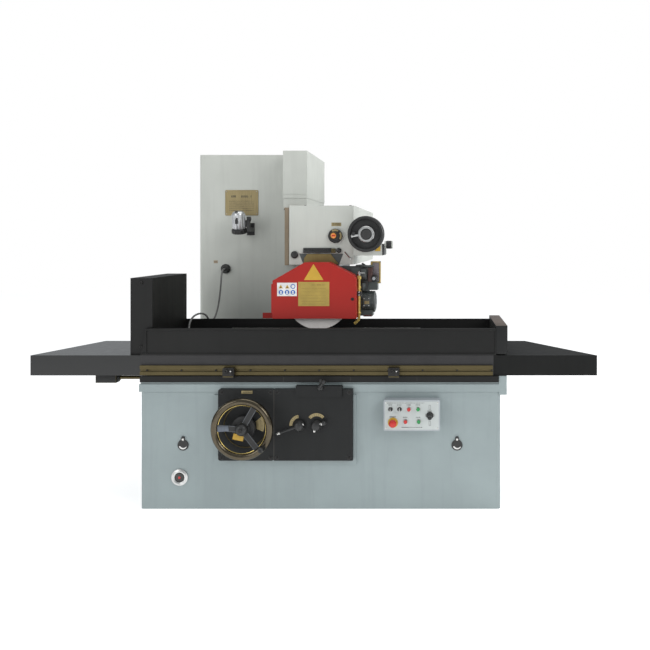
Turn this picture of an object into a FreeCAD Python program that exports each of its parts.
import FreeCAD, Part
import math
import os
import re
import Sketcher

# A hydraulic surface grinder, in millimetres.
# +X is the table's travel to the right, +Y is towards the back, +Z is up.
# X = 0 and Y = 0 are the table's centre lines and Z = 0 is the floor.

SIZES = {
    # Clearances
    "slide_gap": 0.1, "shaft_gap": 0.06, "running_gap": 0.5, "cover_gap": 2,
    # Bed
    "bed_left": -823, "bed_right": 894, "bed_half": 260, "bed_deck": 595,
    "bed_flange": 36, "bed_lip": 6, "bed_corner": 14, "pad_left": -470, "pad_right": 206,
    "pad_low": 214, "pad_high": 545, "pad_proud": 8,
    "way_out": 190, "way_in": 110, "way_top": 650, "cast_wall": 30, "channel_half": 62, "channel_floor": 536,
    "curb_back": 226, "curb_top": 633, "base_left": -823, "base_right": 60, "base_back": 950,
    "bracket_left": 885, "bracket_right": 923, "bracket_low": 545, "bracket_high": 634,
    "bracket_deep": 70, "rail_low": 608, "rail_high": 634.5, "rail_thick": 12,
    "hole_radius": 26, "hole_deep": 70, "hole_height": 305, "hole_left": -620, "hole_right": 686,
    # Covers and controls on the bed's front
    "plate_left": -444, "plate_split": -180, "plate_right": 192, "plate_low": 239,
    "plate_high": 577, "plate_thick": 25, "plate_radius": 10, "bump_left": -76, "bump_right": 142,
    "bump_high": 593, "bump_thick": 34,
    "panel_left": 340, "panel_right": 605, "panel_low": 387, "panel_high": 531,
    "panel_proud": 60, "panel_radius": 7, "bezel_radius": 11, "bezel_proud": 3,
    "button_radius": 8, "button_proud": 11, "button_travel": 4, "stem_radius": 5, "stem_deep": 14,
    # Table, trough and wings
    "table_right": 860, "apron_low": 636, "table_top": 732, "apron_thick": 18,
    "wing_left": -1349, "wing_left_back": -1219, "wing_right": 1354, "wing_right_back": 1067,
    "wing_sheet": 6, "trough_left": -800, "trough_rim": 861, "wall_thick": 4, "rim_radius": 6,
    "back_wall": 240, "back_rim": 855, "end_wall_left": 872, "end_wall_right": 927,
    "end_wall_top": 873, "trough_seat": 700, "splash_left": -878, "splash_right": -773, "splash_top": 1100,
    "splash_half": 245, "chuck_half_length": 500, "chuck_half_width": 160, "chuck_high": 83,
    "upper_rail_low": 668, "upper_rail_high": 685, "lower_rail_low": 640, "lower_rail_high": 655.5,
    "dog_rail_thick": 12, "dog_rail_right": 856, "dog_left_place": -396, "dog_right_place": 386,
    "dog_wide": 53, "dog_low": 630, "dog_high": 677, "dog_thick": 26,
    "rod_height": 580, "rod_radius": 9, "piston_radius": 29, "cylinder_radius": 36,
    "cylinder_bore": 30, "cylinder_left": -530, "cylinder_right": 700, "rod_end": 80,
    "clevis_left": -1146, "clevis_right": -1042,
    # Column and way covers
    "column_left": -788, "column_front": 510, "column_back": 927, "column_top": 1775,
    "column_radius": 18, "cover_left": -261, "cover_right": -128, "cover_behind": 40,
    "cover_low": 1514, "cover_sheet": 2, "cover_step": 2.5, "lower_cover_top": 1536,
    "guide_inset": 8, "guide_wall": 24, "guide_top": 1750,
    # Saddle
    "saddle_half": 167, "saddle_front": -10, "saddle_back": 1070, "saddle_low": 1157,
    "saddle_top": 1458, "saddle_radius": 10, "flange_left": -241, "flange_front": 262,
    "keeper_right": -219, "tail_high": 1213, "tail_left": -98, "tail_right": 96, "tail_lean": 16,
    "screw_radius": 20, "screw_place_y": 760,
    # Cross-feed drive
    "feed_x": 236, "feed_z": 1312, "feed_radius": 90, "feed_front": -118, "feed_back": -62,
    "feed_ring": 41, "feed_shaft": 12, "drive_right": 321, "drive_low": 1204,
    "drive_high": 1263, "drive_front": -50, "drive_back": 150, "knob_x": 72, "knob_z": 1303,
    "knob_radius": 36,
    # Wheelhead
    "spindle_z": 999, "wheel_y": -96, "wheel_radius": 160, "wheel_wide": 40, "wheel_bore": 63.5,
    "spindle_radius": 30, "flange_radius": 95, "housing_radius": 88, "housing_front": -50,
    "housing_back": 500, "head_half": 96, "head_front": -32, "head_back": 500, "motor_radius": 118,
    "motor_back": 850, "guard_front": -145, "guard_back": -53, "guard_sheet": 4, "door_gap": 0.5,
    "guard_low": 895, "guard_left": -220, "guard_right": 191, "guard_left_high": 1081,
    "guard_right_high": 1091, "guard_peak": 1172, "guard_peak_left": -62, "guard_peak_right": 56,
    "guard_bend_x": 178, "guard_bend_z": 1109, "hinge_radius": 3,
    "aux_left": 192, "aux_right": 272, "aux_z": 966, "aux_y": 30, "aux_radius": 54,
    "pipe_x": 199, "pipe_y": -82, "pipe_radius": 7.5, "pipe_top": 1105, "pipe_bend": 886,
    # Elevation handwheel, levers and lamp
    "hand_x": -311, "hand_z": 407, "hand_ahead": 112, "hand_radius": 144, "hand_rim": 16,
    "dial_radius": 104, "dial_proud": 14, "spoke_wide": 26, "spoke_thick": 10,
    "hub_radius": 34, "hand_shaft": 14, "hand_reach": 40, "grip_angle": -38, "lever_z": 407,
    "lever_one": -58, "lever_two": 22, "lever_hub": 27, "mode_long": 108, "speed_long": 40,
    "reverse_x": 43, "reverse_top": 626,
    "lamp_x": -530, "lamp_z": 1400, "lamp_y": 400, "lamp_radius": 46,
}

document = FreeCAD.newDocument("SurfaceGrinder")
sheet = document.addObject("Spreadsheet::Sheet", "Sizes")
for row, (alias, number) in enumerate(SIZES.items(), start=1):
    sheet.set(f"A{row}", alias)
    sheet.set(f"B{row}", str(number))
    sheet.setAlias(f"B{row}", alias)
document.recompute()

PLANES = {"x": "YZ_Plane", "y": "XZ_Plane", "z": "XY_Plane"}
VECTOR = FreeCAD.Vector
AXIS_TURNS = {
    "x": FreeCAD.Rotation(VECTOR(0, 1, 0), 90),
    "y": FreeCAD.Rotation(VECTOR(1, 0, 0), -90),
    "z": FreeCAD.Rotation(),
    "front": FreeCAD.Rotation(VECTOR(1, 0, 0), 90),
    "left": FreeCAD.Rotation(VECTOR(0, 1, 0), -90),
}
parts = []


def bind(text):
    """An expression in which each word is a cell of the sheet."""
    return re.sub(r"[a-z][a-z_]*", lambda word: "Sizes." + word.group(0), str(text))


def value(text):
    """The expression's value in millimetres, for shapes that are set directly."""
    return float(sheet.evalExpression(str(text)))


def piece(label):
    """A new body, which becomes one node."""
    body = document.addObject("PartDesign::Body", label)
    body.Label = label
    parts.append(body)
    return body


def block(body, x, y, z, cut=False):
    """A box between three pairs of faces, added or cut away."""
    kind = "PartDesign::SubtractiveBox" if cut else "PartDesign::AdditiveBox"
    box = body.newObject(kind, "Block")
    for size, place, (low, high) in zip(("Length", "Width", "Height"), "xyz", (x, y, z)):
        box.setExpression(size, bind(f"({high}) - ({low})"))
        box.setExpression("Placement.Base." + place, bind(low))
    return box


def drum(body, axis, start, length, radius, cut=False):
    """A cylinder along an axis from its start point, added or cut away."""
    kind = "PartDesign::SubtractiveCylinder" if cut else "PartDesign::AdditiveCylinder"
    cylinder = body.newObject(kind, "Drum")
    cylinder.Placement = FreeCAD.Placement(VECTOR(0, 0, 0), AXIS_TURNS[axis])
    cylinder.setExpression("Radius", bind(radius))
    cylinder.setExpression("Height", bind(length))
    for place, text in zip("xyz", start):
        cylinder.setExpression("Placement.Base." + place, bind(text))
    return cylinder


def ball(body, centre, radius):
    """A sphere added at its centre."""
    sphere = body.newObject("PartDesign::AdditiveSphere", "Ball")
    sphere.setExpression("Radius", bind(radius))
    for place, text in zip("xyz", centre):
        sphere.setExpression("Placement.Base." + place, bind(text))
    return sphere


def outline(body, plane, offset, points):
    """A closed sketch through points whose coordinates are expressions."""
    sketch = body.newObject("Sketcher::SketchObject", "Outline")
    role = PLANES[plane]
    origin = [item for item in body.Origin.OriginFeatures if item.Role == role]
    sketch.AttachmentSupport = [(origin[0], "")]
    sketch.MapMode = "FlatFace"
    sign = "-" if plane == "y" else ""
    sketch.setExpression("AttachmentOffset.Base.z", bind(f"{sign}({offset})"))
    spots = [VECTOR(value(across), value(up), 0) for across, up in points]
    for start, end in zip(spots, spots[1:] + spots[:1]):
        sketch.addGeometry(Part.LineSegment(start, end), False)
    for index in range(len(points)):
        following = (index + 1) % len(points)
        sketch.addConstraint(Sketcher.Constraint("Coincident", index, 2, following, 1))
    for index, (spot, texts) in enumerate(zip(spots, points)):
        for kind, number, text in zip(("DistanceX", "DistanceY"), (spot.x, spot.y), texts):
            place = sketch.addConstraint(Sketcher.Constraint(kind, -1, 1, index, 1, number))
            sketch.setExpression(f"Constraints[{place}]", bind(text))
    return sketch


def slab(body, plane, low, high, points, cut=False):
    """An outline made solid between two planes, added or cut away."""
    start = high if plane == "y" else low
    sketch = outline(body, plane, start, points)
    kind = "PartDesign::Pocket" if cut else "PartDesign::Pad"
    feature = body.newObject(kind, "Slab")
    feature.Profile = sketch
    feature.Reversed = cut
    feature.setExpression("Length", bind(f"({high}) - ({low})"))
    return feature


def turned(label, facing, centre, points):
    """A lathe piece: (radius, length) points turned about its own axis."""
    body = piece(label)
    sketch = outline(body, "y", "0", points)
    feature = body.newObject("PartDesign::Revolution", "Turned")
    feature.Profile = sketch
    feature.ReferenceAxis = (sketch, ["V_Axis"])
    feature.Angle = 360
    body.Placement = FreeCAD.Placement(VECTOR(0, 0, 0), AXIS_TURNS[facing])
    for place, text in zip("xyz", centre):
        body.setExpression("Placement.Base." + place, bind(text))
    return body


def cosine(angle):
    """The cosine of an angle in degrees, as text for an expression."""
    return f"({round(math.cos(math.radians(angle)), 4)})"


def sine(angle):
    """The sine of an angle in degrees, as text for an expression."""
    return f"({round(math.sin(math.radians(angle)), 4)})"


def along(axis):
    """A test for straight edges along an axis."""
    direction = {"x": VECTOR(1, 0, 0), "y": VECTOR(0, 1, 0), "z": VECTOR(0, 0, 1)}[axis]

    def test(edge):
        if edge.Curve.TypeId != "Part::GeomLine":
            return False
        run = edge.Vertexes[1].Point - edge.Vertexes[0].Point
        return abs(abs(run.normalize() * direction) - 1) < 1e-6

    return test


def rounded(body, radius, wanted):
    """Round the edges that the test picks."""
    document.recompute()
    base = body.Tip
    names = [f"Edge{index}" for index, edge in enumerate(base.Shape.Edges, start=1) if wanted(edge)]
    fillet = body.newObject("PartDesign::Fillet", "Rounding")
    fillet.Base = (base, names)
    fillet.setExpression("Radius", bind(radius))
    return fillet


def bed_casting():
    """The bed with its flange, two ways, cylinder channel and column base."""
    bed = piece("bed_casting")
    half = "bed_half"
    block(bed, ("bed_left", "bed_right"), (f"-{half}", half), ("0", "bed_deck - bed_flange"))
    rounded(bed, "bed_corner", along("z"))
    lip = "bed_lip"
    block(bed, (f"bed_left - {lip}", f"bed_right + {lip}"), (f"-{half} - {lip}", half),
          ("bed_deck - bed_flange", "bed_deck"))
    block(bed, ("bed_left", "bed_right"), ("-bed_half", "-curb_back"),
          ("bed_deck", "curb_top"))
    block(bed, ("pad_left", "pad_right"), ("-bed_half - pad_proud", "-bed_half"),
          ("pad_low", "pad_high"))
    block(bed, ("bracket_left", "bracket_right"), ("-bed_half - bed_lip", "bracket_deep - bed_half"),
          ("bracket_low", "bracket_high"))
    block(bed, ("bed_left - 2 * bed_lip", "bed_right - bed_lip"), ("-channel_half", "channel_half"),
          ("channel_floor", "way_top"), cut=True)
    for place in ("hole_left", "hole_right"):
        drum(bed, "y", (place, "-bed_half - bed_lip", "hole_height"), "hole_deep", "hole_radius", cut=True)
    hollow = ("bed_left + cast_wall", "bed_right - cast_wall")
    block(bed, hollow, ("hole_deep + cast_wall / 2 - bed_half", "bed_half - cast_wall"),
          ("cast_wall", "channel_floor - cast_wall"), cut=True)
    drum(bed, "y", ("hand_x", "-bed_half - pad_proud", "hand_z"), "hole_deep", "hand_shaft + 4", cut=True)
    for place in ("lever_one", "lever_two"):
        drum(bed, "y", (place, "-bed_half - pad_proud", "lever_z"), "hole_deep", "stem_radius + 3", cut=True)


def base_and_ways():
    """The column's base behind the bed, and the two ground ways on the deck."""
    base = piece("column_base")
    block(base, ("base_left", "base_right"), ("bed_half", "base_back"), ("0", "bed_deck"))
    block(base, ("base_left + cast_wall", "base_right - cast_wall"),
          ("bed_half + cast_wall", "base_back - cast_wall"), ("cast_wall", "bed_deck - cast_wall"), cut=True)
    ways = piece("bed_ways")
    for low, high in (("-way_out", "-way_in"), ("way_in", "way_out")):
        block(ways, ("bed_left", "bed_right"), (low, high), ("bed_deck", "way_top"))


def front_fittings():
    """The drip rail, the two dark covers and the oil sight glass on the bed."""
    rail = piece("drip_rail")
    block(rail, ("bed_left", "bracket_left"), ("-bed_half - rail_thick", "-bed_half"),
          ("rail_low", "rail_high"))
    face = "-bed_half - pad_proud"
    left = piece("left_gearbox_cover")
    block(left, ("plate_left", "plate_split - 1"), (f"{face} - plate_thick", face),
          ("plate_low", "plate_high"))
    rounded(left, "plate_radius", along("y"))
    drum(left, "y", ("hand_x", f"{face} - plate_thick - dial_proud", "hand_z"), "dial_proud", "dial_radius")
    drum(left, "y", ("hand_x", f"{face} - plate_thick - dial_proud - 1", "hand_z"),
         "plate_thick + dial_proud + 2", "hand_shaft + shaft_gap", cut=True)
    right = piece("right_control_cover")
    block(right, ("plate_split", "plate_right"), (f"{face} - plate_thick", face),
          ("plate_low", "plate_high"))
    block(right, ("bump_left", "bump_right"), (f"{face} - bump_thick", face),
          ("plate_high - bed_flange", "bump_high"))
    for place in ("lever_one", "lever_two"):
        drum(right, "y", (place, f"{face} - plate_thick - 1", "lever_z"), "plate_thick + 2",
             "stem_radius + shaft_gap", cut=True)
    turned("sight_glass", "front", ("hole_left - 16", "-bed_half", "151"),
           (("0", "0"), ("39", "0"), ("39", "6"), ("30", "9"), ("21", "6"), ("0", "6")))


def lifting_cover(label, place):
    """A swing cover that hangs over a lifting hole from its pivot pin."""
    cover = turned(label, "front", (place, "-bed_half - running_gap", "hole_height"),
                   (("0", "0"), ("hole_radius - 1", "0"), ("hole_radius", "1"), ("hole_radius", "3"),
                    ("hole_radius - 1", "4"), ("0", "4")))
    drum(cover, "z", ("0", "hole_radius + 7", "0"), "6", "9")
    block(cover, ("-9", "9"), ("hole_radius - 8", "hole_radius + 7"), ("0", "4"))
    return cover


def control_box():
    """The raised control panel with round bores for its switches."""
    box = piece("control_box")
    block(box, ("panel_left", "panel_right"), ("-bed_half - panel_proud", "-bed_half"),
          ("panel_low", "panel_high"))
    rounded(box, "panel_radius", along("y"))
    front = "-bed_half - panel_proud"
    for _, kind, place, height, _ in CONTROLS:
        if kind == "stick":
            continue
        drum(box, "y", (place, f"{front} - 1", height), "stem_deep + 1 + button_travel",
             "stem_radius + shaft_gap", cut=True)


CONTROLS = [
    ("key_switch", "key", "373", "489", "9"),
    ("selector_switch", "selector", "415", "489", "9"),
    ("stop_button_upper", "push", "459", "489", "button_radius"),
    ("start_button_upper", "push", "502", "489", "button_radius"),
    ("e_stop", "mushroom", "384", "426", "18"),
    ("stop_button_lower", "push", "443", "431", "button_radius"),
    ("start_button_lower", "push", "505", "431", "button_radius"),
    ("joystick", "stick", "557", "460", "11"),
]


def control(label, kind, place, height, radius):
    """One switch: a stem in the panel's bore with its own head."""
    if kind == "stick":
        joystick(label, place, height, radius)
        return
    reach = "-stem_deep"
    stem = [("0", reach), ("stem_radius", reach), ("stem_radius", "running_gap")]
    if kind == "push":
        head = [(radius, "running_gap + button_travel"), (radius, "button_proud + button_travel"),
                ("0", "button_proud + button_travel")]
        stem[2] = ("stem_radius", "running_gap + button_travel")
    elif kind == "mushroom":
        stem[2] = ("stem_radius", "14")
        head = [("12", "14"), (radius, "20"), (radius, "26"), (f"{radius} - 5", "31"), ("0", "33")]
    else:
        head = [(radius, "running_gap"), (radius, "10"), (f"{radius} - 2", "13"), ("0", "13")]
    body = turned(label, "front", (place, "-bed_half - panel_proud", height), stem + head)
    if kind in ("key", "selector"):
        block(body, (f"-{radius} - 1", f"{radius} + 1"), ("-2.5", "2.5"), ("10", "20"))
    return body


def joystick(label, place, height, radius):
    """A jog stick that tilts on a ball seated against the panel."""
    centre = f"-bed_half - panel_proud - {radius} - slide_gap"
    body = turned(label, "front", (place, centre, height),
                  (("0", "0"), ("4", "0"), ("4", "32"), ("9", "36"), ("9", "48"), ("5", "53"), ("0", "54")))
    ball(body, ("0", "0", "0"), radius)
    return body


def column():
    """The column box with its guide block for the saddle."""
    casting = piece("column_casting")
    block(casting, ("column_left", "cover_left"), ("column_front", "column_back"),
          ("bed_deck", "column_top"))
    rounded(casting, "column_radius", along("z"))
    block(casting, ("cover_left - 60", "cover_left + guide_inset"),
          ("column_front", "column_back - column_radius"), ("bed_deck", "guide_top"))
    block(casting, ("cover_left + guide_inset", "cover_right - guide_inset"),
          ("(bed_half + cover_behind) + guide_inset", "column_back - guide_inset"), ("bed_deck", "guide_top"))
    inside = ("bed_deck + cast_wall", "guide_top - cast_wall")
    block(casting, ("column_left + cast_wall", "cover_left - cast_wall"),
          ("column_front + cast_wall", "column_back - cast_wall"), inside, cut=True)
    block(casting, ("cover_left + guide_inset + guide_wall", "cover_right - guide_inset - guide_wall"),
          ("(bed_half + cover_behind) + cast_wall", "column_back - cast_wall"), inside, cut=True)


def way_cover(label, low, high, step, roof):
    """One stage of the sheet-metal cover around the guide block."""
    cover = piece(label)
    left = f"cover_left + {step}"
    right = f"cover_right - {step}"
    front = f"(bed_half + cover_behind) + {step}"
    back = f"column_back - {step}"
    side = ("column_front - cover_gap", f"{left} + cover_sheet")
    block(cover, (left, right), (front, f"{front} + cover_sheet"), (low, high))
    block(cover, (f"{right} - cover_sheet", right), (front, back), (low, high))
    block(cover, (left, side[1]), (front, side[0]), (low, high))
    if roof:
        block(cover, (f"{left} + slide_gap", right), (front, back), (f"{high} - cover_sheet", high))


def column_fittings():
    """The nameplate, lead socket, lamp bracket and lamp head on the column."""
    plate = piece("nameplate")
    block(plate, ("-638", "-447"), ("column_front - 3", "column_front"), ("1424", "1571"))
    rounded(plate, "6", along("y"))
    turned("lead_socket", "front", ("-634", "column_front", "1116"),
           (("0", "0"), ("27", "0"), ("27", "12"), ("20", "18"), ("15", "34"), ("0", "34")))
    bracket = piece("lamp_bracket")
    block(bracket, ("lamp_x + 20", "lamp_x + 62"), ("column_front - 10", "column_front"),
          ("lamp_z - 90", "lamp_z - 20"))
    block(bracket, ("lamp_x + lamp_radius + running_gap", "lamp_x + 62"),
          ("lamp_y - 12", "column_front - 10"),
          ("lamp_z - 70", "lamp_z - 46"))
    block(bracket, ("lamp_x + lamp_radius + running_gap", "lamp_x + 62"), ("lamp_y - 12", "lamp_y + 12"),
          ("lamp_z - 70", "lamp_z + 12"))
    drum(bracket, "x", ("lamp_x + lamp_radius + running_gap", "lamp_y", "lamp_z"), "20", "14")
    turned("lamp_head", "z", ("lamp_x", "lamp_y", "lamp_z - 84"), (
        ("0", "0"), ("lamp_radius - 4", "0"), ("lamp_radius", "4"), ("lamp_radius", "22"),
        ("lamp_radius - 3", "25"), ("lamp_radius - 3", "150"), ("lamp_radius - 8", "156"), ("0", "156")))


def cylinder_and_rod():
    """The table's hydraulic cylinder, and the piston rod that the table carries."""
    cylinder = piece("hydraulic_cylinder")
    drum(cylinder, "x", ("cylinder_left", "0", "rod_height"), "cylinder_right - cylinder_left",
         "cylinder_radius")
    for place in ("cylinder_left + 40", "cylinder_right - 80"):
        block(cylinder, (place, f"{place} + 40"), ("-channel_half + 12", "channel_half - 12"),
              ("channel_floor", "rod_height"))
    drum(cylinder, "x", ("cylinder_left + 20", "0", "rod_height"),
         "cylinder_right - cylinder_left - 40", "cylinder_bore", cut=True)
    drum(cylinder, "x", ("cylinder_left - 1", "0", "rod_height"), "22", "rod_radius + shaft_gap", cut=True)
    rod = piece("piston_rod")
    drum(rod, "x", ("clevis_right - 20", "0", "rod_height"), "rod_end - clevis_right + 20", "rod_radius")
    drum(rod, "x", ("rod_end - 30", "0", "rod_height"), "30", "piston_radius")
    block(rod, ("clevis_left", "clevis_right"), ("-24", "24"), ("rod_height - 24", "rod_height + 16"))
    block(rod, ("clevis_left", "clevis_left + 40"), ("-20", "20"), ("rod_height + 16", "way_top + 4"))


def table():
    """The table with its front and back aprons, which ride over the ways."""
    casting = piece("table_casting")
    block(casting, ("bed_left", "table_right"), ("-way_out - 10", "way_out + 10"),
          ("way_top + slide_gap", "trough_seat"))
    block(casting, ("bed_left", "table_right"), ("-bed_half", "bed_half"), ("trough_seat", "table_top"))
    for low, high in (("-bed_half", "apron_thick - bed_half"), ("bed_half - apron_thick", "bed_half")):
        block(casting, ("bed_left", "table_right"), (low, high), ("apron_low", "trough_seat"))
    rails = piece("dog_rails")
    front = ("-bed_half - dog_rail_thick", "-bed_half")
    block(rails, ("bed_left", "dog_rail_right"), front, ("upper_rail_low", "upper_rail_high"))
    block(rails, ("bed_left", "dog_rail_right"), front, ("lower_rail_low", "lower_rail_high"))
    block(rails, ("bed_left", "dog_rail_right"), ("-bed_half - dog_rail_thick / 3", "-bed_half"),
          ("lower_rail_high", "upper_rail_low"))
    chuck = piece("magnetic_chuck")
    block(chuck, ("-chuck_half_length", "chuck_half_length"), ("-chuck_half_width", "chuck_half_width"),
          ("table_top", "table_top + chuck_high"))
    rounded(chuck, "3", along("z"))


def dog(label, place):
    """A reversing dog, clamped where the operator wants the stroke to end."""
    body = piece(label)
    rail = "-bed_half - dog_rail_thick - slide_gap"
    block(body, (f"{place} - dog_wide / 2", f"{place} + dog_wide / 2"), (f"{rail} - dog_thick", rail),
          ("dog_low", "dog_high"))
    rounded(body, "4", along("y"))


def trough():
    """The coolant trough: its long walls, right end wall and splash guard."""
    front = piece("trough_walls")
    face = "-bed_half + wall_thick"
    block(front, ("trough_left", "end_wall_left"), ("-bed_half", face),
          ("table_top", "trough_rim - rim_radius"))
    drum(front, "x", ("trough_left", "wall_thick / 2 - bed_half", "trough_rim - rim_radius"),
         "end_wall_left - trough_left", "rim_radius")
    slab(front, "y", "-bed_half", face, (("bed_left", "table_top"), ("trough_left", "table_top"),
                                         ("trough_left", "trough_rim - 15")))
    block(front, ("splash_right", "end_wall_left"), ("back_wall", "back_wall + wall_thick"),
          ("table_top", "back_rim"))
    end = piece("right_end_wall")
    block(end, ("end_wall_left", "end_wall_left + wall_thick"), ("-bed_half", "back_wall + wall_thick"),
          ("trough_seat + 38", "end_wall_top - wall_thick"))
    block(end, ("end_wall_left", "end_wall_right"), ("-bed_half", "back_wall + wall_thick"),
          ("end_wall_top - wall_thick", "end_wall_top"))
    block(end, ("end_wall_right - wall_thick", "end_wall_right"), ("-bed_half", "back_wall + wall_thick"),
          ("trough_seat + 38", "end_wall_top - wall_thick"))
    splash = piece("left_splash_guard")
    block(splash, ("splash_left", "splash_right"), ("-splash_half", "splash_half"),
          ("table_top", "splash_top"))
    block(splash, ("splash_left + wall_thick", "splash_right - wall_thick"),
          ("wall_thick - splash_half", "splash_half - wall_thick"),
          ("table_top - 1", "splash_top - wall_thick"), cut=True)


def wing(label, inner, outer_front, outer_back):
    """A flat cover over the bed's end, wider at the front than at the back."""
    body = piece(label)
    corners = ((inner, "-bed_half"), (outer_front, "-bed_half"), (outer_back, "bed_half"),
               (inner, "bed_half"))
    slab(body, "z", "table_top - wing_sheet", "table_top", corners)
    skirt = ("apron_low", "table_top - wing_sheet")
    ends = (outer_front, inner) if label == "left_wing" else (inner, outer_front)
    block(body, ends, ("-bed_half", "wing_sheet - bed_half"), skirt)
    sign = "+" if label == "left_wing" else "-"
    slab(body, "z", skirt[0], skirt[1],
         ((outer_front, "-bed_half"), (f"{outer_front} {sign} wing_sheet", "-bed_half"),
          (f"{outer_back} {sign} wing_sheet", "bed_half"), (outer_back, "bed_half")))
    block(body, (ends[0] + " - 1", ends[1] + " + 1"), ("-way_out - 6", "way_out + 6"),
          ("apron_low - 1", "way_top + 4"), cut=True)
    if label == "left_wing":
        block(body, ("clevis_left - 10", "clevis_left + 60"), ("-40", "40"),
              ("way_top + 4", "table_top - wing_sheet"))


def tail(grow, top):
    """The dovetail's section, grown sideways by a clearance."""
    return ((f"tail_left + 10 - ({grow})", "saddle_low - 10"),
            (f"tail_right - 10 + ({grow})", "saddle_low - 10"),
            (f"tail_right + tail_lean + ({grow})", top), (f"tail_left - tail_lean - ({grow})", top))


def saddle():
    """The saddle on the guide block, with the dovetail way under it."""
    casting = piece("saddle_casting")
    side = "cover_right + cover_gap"
    block(casting, ("-saddle_half", "saddle_half"), ("saddle_front", "(bed_half + cover_behind) - cover_gap"),
          ("saddle_low", "saddle_top"))
    block(casting, (side, "saddle_half"), ("(bed_half + cover_behind) - cover_gap", "saddle_back"),
          ("saddle_low", "saddle_top"))
    rounded(casting, "saddle_radius", saddle_corner)
    slab(casting, "y", "saddle_front - 10", "saddle_back + 10", tail("slide_gap", "tail_high + slide_gap"),
         cut=True)
    block(casting, (f"{side} + cast_wall", "saddle_half - cast_wall"),
          ("saddle_front + cast_wall", "saddle_back - cast_wall"),
          ("tail_high + cast_wall", "saddle_top - cast_wall"), cut=True)
    way_cover("way_cover_lower", "saddle_top", "lower_cover_top", "cover_step", False)
    guide = "cover_right - guide_inset + slide_gap"
    gib = piece("keeper_strip")
    block(gib, ("cover_left + guide_inset + 2", "cover_right - guide_inset - 2"),
          ("(bed_half + cover_behind) - cover_gap",
          "(bed_half + cover_behind) + guide_inset - slide_gap"), ("saddle_low", "saddle_top"))
    block(gib, ("flange_left", "keeper_right"), ("flange_front - 14", "flange_front"),
          ("saddle_low - 12", "saddle_top + 1"))
    block(gib, ("flange_left", "-saddle_half"), ("flange_front", "(bed_half + cover_behind) - cover_gap"),
          ("saddle_low", "saddle_top"))
    block(gib, (guide, side), ("(bed_half + cover_behind) + 30", "column_back - 40"),
          ("saddle_low", "saddle_top"))


def saddle_corner(edge):
    """The saddle's four outer upright corners."""
    if not along("z")(edge):
        return False
    place = edge.Vertexes[0].Point
    at_front = abs(place.y - value("saddle_front")) < 1
    at_back = abs(place.y - value("saddle_back")) < 1
    return at_front or at_back


def cross_feed():
    """The cross-feed gearbox on the saddle's side, and its dished handwheel."""
    box = piece("crossfeed_gearbox")
    block(box, ("saddle_half", "drive_right"), ("drive_front", "drive_back"), ("drive_low", "drive_high"))
    block(box, ("saddle_half", "feed_x + 34"), ("drive_front", "drive_back"), ("drive_high", "feed_z + 34"))
    rounded(box, "4", along("y"))
    drum(box, "x", ("drive_right", "drive_front + 60", "drive_low + 54"), "41", "19")
    drum(box, "y", ("feed_x", "drive_front - 1", "feed_z"), "60", "feed_shaft + shaft_gap", cut=True)
    length = "feed_back - feed_front"
    wheel = turned("crossfeed_handwheel", "front", ("feed_x", "feed_back", "feed_z"), (
        ("0", "-50 - (drive_front - feed_back)"), ("feed_shaft", "-50 - (drive_front - feed_back)"),
        ("feed_shaft", "0"), ("feed_radius - 4", "0"), ("feed_radius", "4"),
        ("feed_radius", f"{length} - 4"), ("feed_radius - 4", length), ("feed_radius - 12", length),
        ("feed_radius - 18", f"{length} - 12"), ("feed_ring", f"{length} - 12"),
        ("feed_ring", f"{length} - 4"), ("26", f"{length} - 4"), ("26", f"{length} + 2"),
        ("0", f"{length} + 2")))
    drum(wheel, "z", ("31 - feed_radius", "0", f"{length} - 14"), "32", "9")
    turned("saddle_knob", "front", ("knob_x", "saddle_front - running_gap", "knob_z"),
           (("0", "0"), ("knob_radius", "0"), ("knob_radius", "14"), ("knob_radius - 4", "18"),
            ("knob_radius - 12", "18"), ("knob_radius - 14", "26"), ("0", "28")))


def wheelhead():
    """The wheelhead under the saddle: dovetail, web, spindle housing and motor."""
    head = piece("wheelhead_casting")
    slab(head, "y", "head_front + 22", "head_back + 200", tail("0", "tail_high"))
    top = "saddle_low - 8"
    block(head, ("-head_half", "head_half - 12"), ("head_front", "head_back"), ("spindle_z", top))
    drum(head, "y", ("0", "housing_front", "spindle_z"), "housing_back - housing_front", "housing_radius")
    block(head, ("head_half - 20", "aux_left - 2"), ("head_front + 20", "aux_y + 60"),
          ("aux_z - 45", "aux_z + 45"))
    block(head, ("head_half - 30", "aux_left + 12"), ("head_front + 30", "head_front + 60"),
          ("aux_z + aux_radius", top))
    reach = "housing_back - housing_front + 2"
    drum(head, "y", ("0", "housing_front - 1", "spindle_z"), reach, "spindle_radius + shaft_gap", cut=True)
    motor = piece("wheelhead_motor")
    drum(motor, "y", ("0", "housing_back", "spindle_z"), "motor_back - housing_back", "motor_radius")
    rounded(motor, "12", lambda edge: edge.Curve.TypeId == "Part::GeomCircle")
    drum(motor, "y", ("0", "housing_back - 1", "spindle_z"), "80", "spindle_radius + running_gap", cut=True)


def guard_outline(inset):
    """The guard's front outline, moved inwards by a wall."""
    return ((f"guard_left + ({inset})", "guard_low"),
            (f"guard_left + ({inset})", f"guard_left_high - ({inset}) / 2"),
            (f"guard_peak_left + ({inset}) / 3", f"guard_peak - ({inset})"),
            (f"guard_peak_right - ({inset}) / 4", f"guard_peak - ({inset})"),
            (f"guard_bend_x - ({inset}) * 4 / 5", f"guard_bend_z - ({inset}) / 2"),
            (f"guard_right - ({inset})", f"guard_right_high - ({inset}) / 2"),
            (f"guard_right - ({inset})", "guard_low"))


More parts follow.
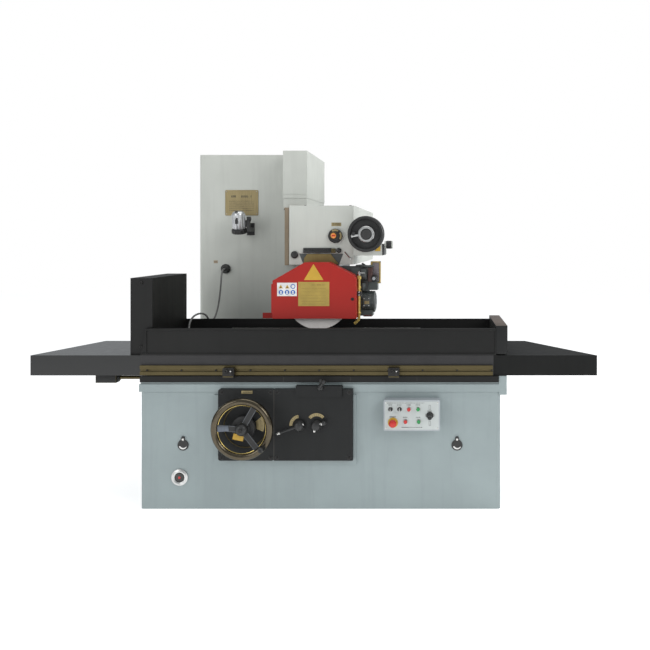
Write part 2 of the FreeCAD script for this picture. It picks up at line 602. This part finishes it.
def guard():
    """The wheel guard: a sheet shell open below, and a front door on a side hinge."""
    shell = piece("guard_shell")
    front = "guard_front + guard_sheet + door_gap"
    back = "guard_back - guard_sheet"
    slab(shell, "y", front, "guard_back", guard_outline("0"))
    inner = list(guard_outline("guard_sheet"))
    inner[0] = (inner[0][0], "guard_low - 5")
    inner[-1] = (inner[-1][0], "guard_low - 5")
    slab(shell, "y", f"{front} - 1", back, inner, cut=True)
    drum(shell, "y", ("0", f"{back} - 1", "spindle_z"), "guard_sheet + 2", "flange_radius - 40", cut=True)
    block(shell, ("guard_left - 69", "guard_left"), (back, "guard_back"), ("guard_low - 7", "guard_low + 21"))
    block(shell, ("-60", "60"), ("guard_back", "head_front"),
          ("spindle_z + housing_radius + 6", "saddle_low - 20"))
    door = piece("guard_door")
    slab(door, "y", "guard_front", "guard_front + guard_sheet", guard_outline("0"))
    drum(door, "z", ("guard_left - hinge_radius - 1", "guard_front + hinge_radius", "guard_low + 30"),
         "guard_left_high - guard_low - 60", "hinge_radius")
    block(door, ("guard_left - hinge_radius - 1", "guard_left + 2"),
          ("guard_front", "guard_front + guard_sheet"), ("guard_low + 30", "guard_left_high - 30"))


def pipe_run(points, radius, bend):
    """A round pipe through points, with tangent arcs where it turns."""
    spots = [VECTOR(*point) for point in points]
    edges = []
    last = spots[0]
    for before, corner, after in zip(spots, spots[1:], spots[2:]):
        to_before = (before - corner).normalize()
        to_after = (after - corner).normalize()
        half_turn = (math.pi - to_before.getAngle(to_after)) / 2
        shorter = min((before - corner).Length, (after - corner).Length)
        arc_radius = bend if bend else 0.45 * shorter / math.tan(half_turn)
        trim = arc_radius * math.tan(half_turn)
        start = corner + to_before * trim
        end = corner + to_after * trim
        inward = (to_before + to_after).normalize()
        middle = corner + inward * (arc_radius / math.cos(half_turn) - arc_radius)
        edges.append(Part.LineSegment(last, start).toShape())
        edges.append(Part.Arc(start, middle, end).toShape())
        last = end
        if not bend:
            print("cord bend radius", round(arc_radius, 1))
    edges.append(Part.LineSegment(last, spots[-1]).toShape())
    path = Part.Wire(edges)
    section = Part.Wire(Part.Circle(spots[0], spots[1] - spots[0], radius).toShape())
    tube = path.makePipeShell([section], True, False)
    expected = math.pi * radius * radius * path.Length
    print("pipe volume against section times length", round(tube.Volume / expected, 4))
    return tube, path.Length


def feature_piece(label, shape):
    """A node whose shape is set directly."""
    item = document.addObject("Part::Feature", label)
    item.Label = label
    item.Shape = shape
    parts.append(item)
    return item


def coolant():
    """The coolant pipe beside the guard, its clamp and its valve handle."""
    x, y = value("pipe_x"), value("pipe_y")
    low = value("pipe_bend")
    points = [(x, y, value("pipe_top")), (x, y, low), (x - 22, y, low - 22)]
    tube, _ = pipe_run(points, value("pipe_radius"), 18)
    clamp = Part.makeBox(x + 14 - value("guard_right"), 24, 26,
                         VECTOR(value("guard_right"), y - 12, value("spindle_z") + 4))
    feature_piece("coolant_pipe", tube.fuse(clamp).removeSplitter())
    top = ("pipe_x", "pipe_y", "pipe_top + slide_gap")
    handle = turned("valve_handle", "z", top, (("0", "0"), ("pipe_radius", "0"), ("pipe_radius", "8"),
                                               ("5", "12"), ("5", "20"), ("0", "20")))
    block(handle, ("0", "30"), ("-4", "4"), ("10", "15"))


def aux_motor():
    """The small motor on the wheelhead's right, with its plate and switch blocks."""
    motor = piece("aux_motor")
    drum(motor, "x", ("aux_left", "aux_y", "aux_z"), "aux_right - aux_left", "aux_radius")
    rounded(motor, "5", lambda edge: edge.Curve.TypeId == "Part::GeomCircle")
    block(motor, ("aux_left - 2", "aux_right - 10"), ("aux_y - 40", "aux_y + 40"),
          ("aux_z - aux_radius - 16", "aux_z - aux_radius + 12"))
    block(motor, ("aux_left - 2", "aux_left + 20"), ("aux_y - 40", "aux_y + 40"),
          ("aux_z - aux_radius", "aux_z"))
    blocks = piece("switch_blocks")
    low = "aux_z + aux_radius"
    block(blocks, ("aux_left + 12", "aux_left + 48"), ("aux_y - 30", "aux_y + 30"), (low, f"{low} + 62"))
    block(blocks, ("aux_left + 48", "aux_left + 92"), ("aux_y - 24", "aux_y + 24"),
          (f"{low} + 6", f"{low} + 48"))
    block(blocks, ("aux_left + 53", "aux_left + 93"), ("aux_y + 24", "aux_y + 34"),
          (f"{low} + 6", f"{low} + 150"))


def spindle_group():
    """The spindle with its wheel flange, and the grinding wheel that it holds."""
    spindle = piece("spindle")
    front = "wheel_y - wheel_wide / 2"
    drum(spindle, "y", ("0", f"{front} - 12", "spindle_z"), f"housing_back + 60 - ({front} - 12)",
         "spindle_radius")
    drum(spindle, "y", ("0", f"{front} + wheel_wide", "spindle_z"), "10", "flange_radius - 45")
    drum(spindle, "y", ("0", front, "spindle_z"), "wheel_wide", "wheel_bore - 0.5")
    drum(spindle, "y", ("0", f"{front} - 10", "spindle_z"), "10", "flange_radius")
    wheel = piece("grinding_wheel")
    drum(wheel, "y", ("0", front, "spindle_z"), "wheel_wide", "wheel_radius")
    rounded(wheel, "1.5", lambda edge: edge.Curve.TypeId == "Part::GeomCircle")
    drum(wheel, "y", ("0", f"{front} - 1", "spindle_z"), "wheel_wide + 2", "wheel_bore - 0.5", cut=True)


def elevation_drive():
    """The elevating handwheel with its grip, and the screw inside the column."""
    wheel = piece("elevation_handwheel")
    rim = wheel.newObject("PartDesign::AdditiveTorus", "Rim")
    rim.setExpression("Radius1", bind("hand_radius - hand_rim"))
    rim.setExpression("Radius2", bind("hand_rim"))
    for angle in (176, 60, -52):
        spoke = block(wheel, ("0", "hand_radius - hand_rim"), ("-spoke_wide / 2", "spoke_wide / 2"),
                      ("-spoke_thick / 2", "spoke_thick / 2"))
        turn = FreeCAD.Rotation(VECTOR(0, 0, 1), angle)
        spoke.setExpression("Placement.Base.x", bind(f"spoke_wide / 2 * {sine(angle)}"))
        spoke.setExpression("Placement.Base.y", bind(f"-spoke_wide / 2 * {cosine(angle)}"))
        spoke.Placement.Rotation = turn
    drum(wheel, "z", ("0", "0", "-16"), "30", "hub_radius - 6")
    drum(wheel, "z", ("0", "0", "-40"), "20", "54")
    drum(wheel, "z", ("0", "0", "-30"), "20", "hub_radius")
    drum(wheel, "z", ("0", "0", f"-({depth_behind_wheel()})"), f"{depth_behind_wheel()} - 30", "hand_shaft")
    grip_x = f"(hand_radius - hand_rim) * {cosine(SIZES['grip_angle'])}"
    grip_y = f"(hand_radius - hand_rim) * {sine(SIZES['grip_angle'])}"
    drum(wheel, "z", (grip_x, grip_y, "0"), "66", "4")
    wheel.Placement = FreeCAD.Placement(VECTOR(0, 0, 0), AXIS_TURNS["front"])
    for place, text in zip("xyz", ("hand_x", "-bed_half - hand_ahead", "hand_z")):
        wheel.setExpression("Placement.Base." + place, bind(text))
    ahead = "-bed_half - hand_ahead - hand_rim - running_gap"
    turned("handwheel_grip", "front", (f"hand_x + {grip_x}", ahead, f"hand_z + {grip_y}"),
           (("4.1", "0"), ("12", "0"), ("14", "14"), ("11", "40"), ("12", "52"), ("4.1", "52")))
    screw = piece("elevation_screw")
    drum(screw, "z", ("(cover_right + cover_left) / 2", "screw_place_y",
                      "bed_deck + cast_wall + running_gap"),
         "guide_top - bed_deck - 2 * cast_wall - 2 * running_gap", "screw_radius")


def depth_behind_wheel():
    """The length of the handwheel's shaft behind the wheel's plane."""
    return "hand_ahead - pad_proud + hand_reach"


def lever(label, place, long, angle, ball_radius):
    """A control lever: a stem in the cover, a hub and an arm with a ball."""
    front = "-bed_half - pad_proud - plate_thick"
    body = turned(label, "front", (place, front, "lever_z"), (
        ("0", "-plate_thick - 40"), ("stem_radius", "-plate_thick - 40"), ("stem_radius", "running_gap"),
        ("lever_hub", "running_gap"), ("lever_hub", "16"), ("lever_hub - 8", "30"), ("0", "32")))
    arm = body.newObject("PartDesign::AdditiveCylinder", "Arm")
    turn = FreeCAD.Rotation(VECTOR(0, 0, 1), angle) * AXIS_TURNS["x"]
    arm.Placement = FreeCAD.Placement(VECTOR(0, 0, 22), turn)
    arm.Radius = 5.5
    arm.setExpression("Height", bind(long))
    ball(body, (f"{long} * {cosine(angle)}", f"{long} * {sine(angle)}", "22"), ball_radius)


def reversing_lever():
    """The lever that the dogs tip, on the raised edge of the control cover."""
    front = "-bed_half - pad_proud - bump_thick"
    height = "bump_high - running_gap * 8"
    body = turned("reversing_lever", "front", ("reverse_x", front, height),
                  (("0", "running_gap"), ("15", "running_gap"), ("16", "10"), ("12", "20"), ("0", "22")))
    block(body, ("-5", "5"), ("0", f"reverse_top - ({height})"), ("4", "12"))


def chuck_lead():
    """The chuck's lead in two stretches that meet behind the trough."""
    radius = 5
    meet_y = value("back_wall") + 50
    socket = (-634, value("column_front") - 34, 1116)
    hang = [socket, (-634, 446, 1116), (-634, 420, 1090), (-635, 413, 1048), (-638, 412, 1002),
            (-642, 408, 956), (-646, 398, 912), (-650, 380, 874), (-653, 352, 848), (-656, 322, 838),
            (-656, meet_y + 0.1, 838)]
    arch = [(-656, meet_y - 0.1, 838), (-656, meet_y - 24, 838), (-661, meet_y - 40, 862),
            (-670, meet_y - 56, 880), (-686, meet_y - 84, 888), (-704, meet_y - 116, 882),
            (-716, meet_y - 148, 862), (-718, meet_y - 176, 830), (-706, meet_y - 200, 796),
            (-676, meet_y - 216, 772), (-634, meet_y - 226, 763), (-590, meet_y - 229, 759),
            (-545, meet_y - 226, 762), (-500.1, meet_y - 226, 762)]
    for label, points in (("lead_from_column", hang), ("lead_to_chuck", arch)):
        tube, length = pipe_run(points, radius, None)
        print(label, "length", round(length))
        feature_piece(label, tube)


def build():
    """Every piece of the machine, in the order that it is put together."""
    bed_casting()
    base_and_ways()
    front_fittings()
    lifting_cover("lifting_cover_left", "hole_left")
    lifting_cover("lifting_cover_right", "hole_right")
    control_box()
    for entry in CONTROLS:
        control(*entry)
    column()
    way_cover("way_cover_upper", "cover_low", "column_top", "0", True)
    column_fittings()
    cylinder_and_rod()
    table()
    dog("left_dog", "dog_left_place")
    dog("right_dog", "dog_right_place")
    trough()
    wing("left_wing", "bed_left", "wing_left", "wing_left_back")
    wing("right_wing", "table_right", "wing_right", "wing_right_back")
    saddle()
    cross_feed()
    wheelhead()
    guard()
    coolant()
    aux_motor()
    spindle_group()
    elevation_drive()
    lever("mode_lever", "lever_one", "mode_long", 199, "8")
    lever("speed_lever", "lever_two", "speed_long", 22, "12")
    reversing_lever()
    chuck_lead()
    document.recompute()


def export():
    """Check every object, then write one STEP file for each piece."""
    faults = [item.Name for item in document.Objects if {"Invalid", "Error"} & set(item.State)]
    for item in parts:
        if item.Shape.isNull() or not item.Shape.isValid() or not item.Shape.Solids:
            faults.append(item.Label)
    if faults:
        raise RuntimeError("these objects failed: " + ", ".join(faults))
    os.makedirs("parts", exist_ok=True)
    for item in parts:
        item.Shape.exportStep(f"parts/{item.Label}.step")
        print(item.Label, len(item.Shape.Solids), round(item.Shape.Volume / 1000), "cm3")


build()
export()
